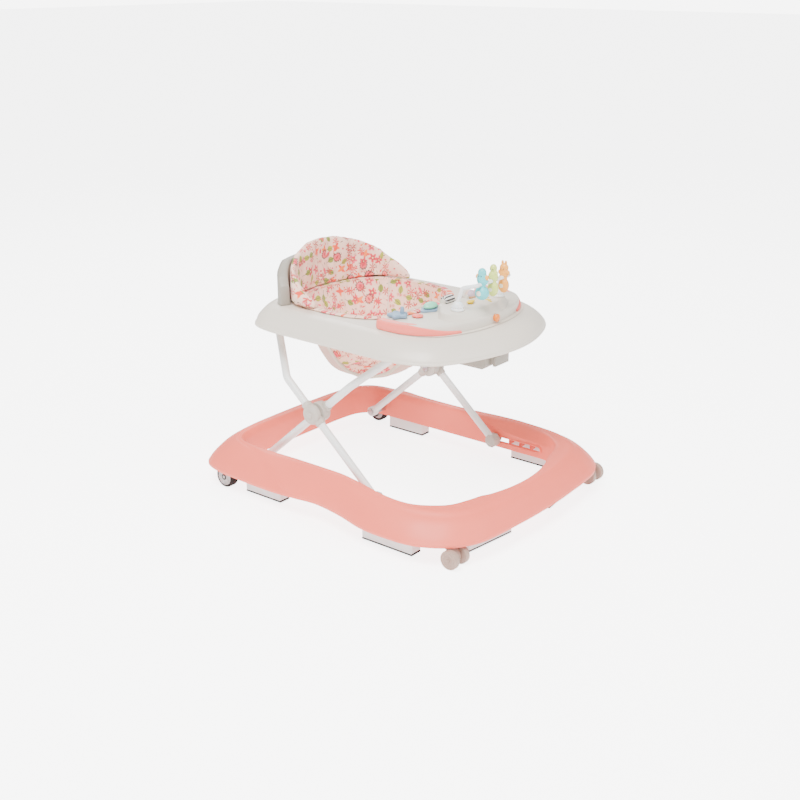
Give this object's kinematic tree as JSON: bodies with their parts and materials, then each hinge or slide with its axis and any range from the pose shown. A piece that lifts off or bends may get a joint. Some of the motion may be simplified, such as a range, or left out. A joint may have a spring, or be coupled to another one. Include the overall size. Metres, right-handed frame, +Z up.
{
  "type": "baby walker",
  "caption": "Rolling baby walker: oval base ring on rear wheels and front casters, folding scissor legs, padded sling seat and a lift-off toy console.",
  "frame": {"origin": "on the floor under the middle of the overall length and width", "axes": "+X towards the front, where the casters and toy console are; +Y towards the baby's left; +Z up"},
  "size_m": [0.736, 0.612, 0.5146],
  "materials": {
    "pink": "satin moulded",
    "shell": "satin moulded",
    "support": "matt moulded",
    "trim": "satin moulded",
    "hub": "matt moulded",
    "white": "gloss moulded",
    "rubber": "matt",
    "steel": "satin",
    "coat": "gloss white coating on steel tube",
    "tyre": "matt",
    "fabric": "printed woven polyester over foam",
    "caster": "matt moulded",
    "mint": "satin moulded",
    "teal": "satin moulded",
    "lime": "satin moulded",
    "orange": "satin moulded",
    "slate": "matt moulded",
    "amber": "satin moulded",
    "yellow": "satin moulded",
    "dark": "matt moulded"
  },
  "bodies": {
    "base": {"base_ring": "pink", "pad_rear_left": "white", "pad_rear_right": "white", "pad_rear_sole_left": "rubber", "pad_rear_sole_right": "rubber", "pad_side_left": "white", "pad_side_right": "white", "pad_side_sole_left": "rubber", "pad_side_sole_right": "rubber", "pad_front_left": "white", "pad_front_right": "white", "pad_front_sole_left": "rubber", "pad_front_sole_right": "rubber", "rear_wheel_bracket_left": "dark", "rear_wheel_bracket_right": "dark", "pivot_pin_left": "steel", "pivot_pin_right": "steel"},
    "inner_arms": {"inner_frame_tube": "coat", "hub_shell_inner_left": "hub", "hub_shell_inner_right": "hub", "hub_pin_left": "steel", "hub_pin_right": "steel"},
    "outer_arms": {"outer_frame_tube": "coat", "hub_shell_outer_left": "hub", "hub_shell_outer_right": "hub", "slider_foot_left": "caster", "slider_foot_right": "caster"},
    "tray": {"tray_shell": "shell", "rear_hinge_block_left": "shell", "rear_hinge_block_right": "shell", "height_rack": "shell", "backrest_pad": "fabric", "backrest_support": "support", "seat_sling": "fabric"},
    "latch": {"height_latch": "support"},
    "console": {"console_body": "shell", "console_bumper_left": "trim", "console_bumper_right": "trim", "toy_arch": "white", "button_plate": "slate"},
    "rear_wheel_left": {"rear_tyre_left": "tyre", "rear_wheel_hub_left": "hub"},
    "caster_left": {"caster_fork_left": "caster"},
    "caster_wheel_body_outer_left": {"caster_wheel_outer_left": "caster"},
    "caster_wheel_body_inner_left": {"caster_wheel_inner_left": "caster"},
    "rear_wheel_right": {"rear_tyre_right": "tyre", "rear_wheel_hub_right": "hub"},
    "caster_right": {"caster_fork_right": "caster"},
    "caster_wheel_body_outer_right": {"caster_wheel_outer_right": "caster"},
    "caster_wheel_body_inner_right": {"caster_wheel_inner_right": "caster"},
    "bear": {"toy_bear": "teal"},
    "bird": {"toy_bird": "lime"},
    "fox": {"toy_fox": "orange"},
    "roller": {"roller_ball": "orange"},
    "spinner": {"striped_spinner": "dark"},
    "mint": {"mint_button": "mint"},
    "pink": {"pink_button": "trim"},
    "leaf": {"leaf_button": "yellow"},
    "knob": {"star_knob": "slate"},
    "release": {"release_button": "amber"}
  },
  "joints": [
    {"name": "fold", "type": "hinge", "parent": "base", "child": "inner_arms", "pos_m": [-0.2343, 0, 0.0541], "axis": [0, 1, 0], "range_deg": [0, 34.8]},
    {"name": "fold_hub", "type": "hinge", "parent": "inner_arms", "child": "outer_arms", "pos_m": [-0.06927, 0, 0.19806], "axis": [0, 1, 0], "range_deg": [-69.7, 0]},
    {"name": "fold_tray", "type": "hinge", "parent": "outer_arms", "child": "tray", "pos_m": [-0.2343, 0, 0.34203], "axis": [0, 1, 0], "range_deg": [0, 34.9]},
    {"name": "latch_release", "type": "slide", "parent": "tray", "child": "latch", "axis": [-1, 0, 0], "range_m": [0, 0.006], "stiffness_N_per_m": 500, "springref_m": -0.002},
    {"name": "console_lift", "type": "slide", "parent": "tray", "child": "console", "axis": [0, 0, 1], "range_m": [0, 0.05]},
    {"name": "rear_wheel_spin_left", "type": "hinge", "parent": "base", "child": "rear_wheel_left", "pos_m": [-0.277, 0.256, 0.02363], "axis": [0, 1, 0], "continuous": true},
    {"name": "caster_swivel_left", "type": "hinge", "parent": "base", "child": "caster_left", "pos_m": [0.307, 0.25, 0.045], "axis": [0, 0, 1], "continuous": true},
    {"name": "caster_spin_outer_left", "type": "hinge", "parent": "caster_left", "child": "caster_wheel_body_outer_left", "pos_m": [0.323, 0.266, 0.01912], "axis": [0, 1, 0], "continuous": true},
    {"name": "caster_spin_inner_left", "type": "hinge", "parent": "caster_left", "child": "caster_wheel_body_inner_left", "pos_m": [0.323, 0.234, 0.01912], "axis": [0, 1, 0], "continuous": true},
    {"name": "rear_wheel_spin_right", "type": "hinge", "parent": "base", "child": "rear_wheel_right", "pos_m": [-0.277, -0.256, 0.02363], "axis": [0, 1, 0], "continuous": true},
    {"name": "caster_swivel_right", "type": "hinge", "parent": "base", "child": "caster_right", "pos_m": [0.307, -0.25, 0.045], "axis": [0, 0, 1], "continuous": true},
    {"name": "caster_spin_outer_right", "type": "hinge", "parent": "caster_right", "child": "caster_wheel_body_outer_right", "pos_m": [0.323, -0.266, 0.01912], "axis": [0, 1, 0], "continuous": true},
    {"name": "caster_spin_inner_right", "type": "hinge", "parent": "caster_right", "child": "caster_wheel_body_inner_right", "pos_m": [0.323, -0.234, 0.01912], "axis": [0, 1, 0], "continuous": true},
    {"name": "bear_swing", "type": "hinge", "parent": "console", "child": "bear", "pos_m": [0.2225, -0.037, 0.482], "axis": [0, 1, 0], "continuous": true},
    {"name": "bird_swing", "type": "hinge", "parent": "console", "child": "bird", "pos_m": [0.2225, 0, 0.482], "axis": [0, 1, 0], "continuous": true},
    {"name": "fox_swing", "type": "hinge", "parent": "console", "child": "fox", "pos_m": [0.2225, 0.037, 0.482], "axis": [0, 1, 0], "continuous": true},
    {"name": "roller_spin", "type": "hinge", "parent": "console", "child": "roller", "pos_m": [0.148, 0.0305, 0.434], "axis": [0, 1, 0], "continuous": true},
    {"name": "spinner_spin", "type": "hinge", "parent": "console", "child": "spinner", "pos_m": [0.135, -0.028, 0.435], "axis": [0, 1, 0], "continuous": true},
    {"name": "mint_press", "type": "slide", "parent": "console", "child": "mint", "axis": [0, 0, -1], "range_m": [0, 0.0025], "stiffness_N_per_m": 400, "springref_m": -0.001},
    {"name": "pink_press", "type": "slide", "parent": "console", "child": "pink", "axis": [0, 0, -1], "range_m": [0, 0.0022], "stiffness_N_per_m": 400, "springref_m": -0.001},
    {"name": "leaf_press", "type": "slide", "parent": "console", "child": "leaf", "axis": [0, 0, -1], "range_m": [0, 0.0025], "stiffness_N_per_m": 400, "springref_m": -0.001},
    {"name": "release_press", "type": "slide", "parent": "console", "child": "release", "axis": [-1, 0, 0], "range_m": [0, 0.003], "stiffness_N_per_m": 600, "springref_m": -0.001},
    {"name": "knob_turn", "type": "hinge", "parent": "console", "child": "knob", "pos_m": [0.098, -0.139, 0.42], "axis": [0, 0, 1], "continuous": true}
  ],
  "couplings": [
    {"joint": "fold_hub", "follows": "fold", "ratio": -2},
    {"joint": "fold_tray", "follows": "fold", "ratio": 1}
  ]
}
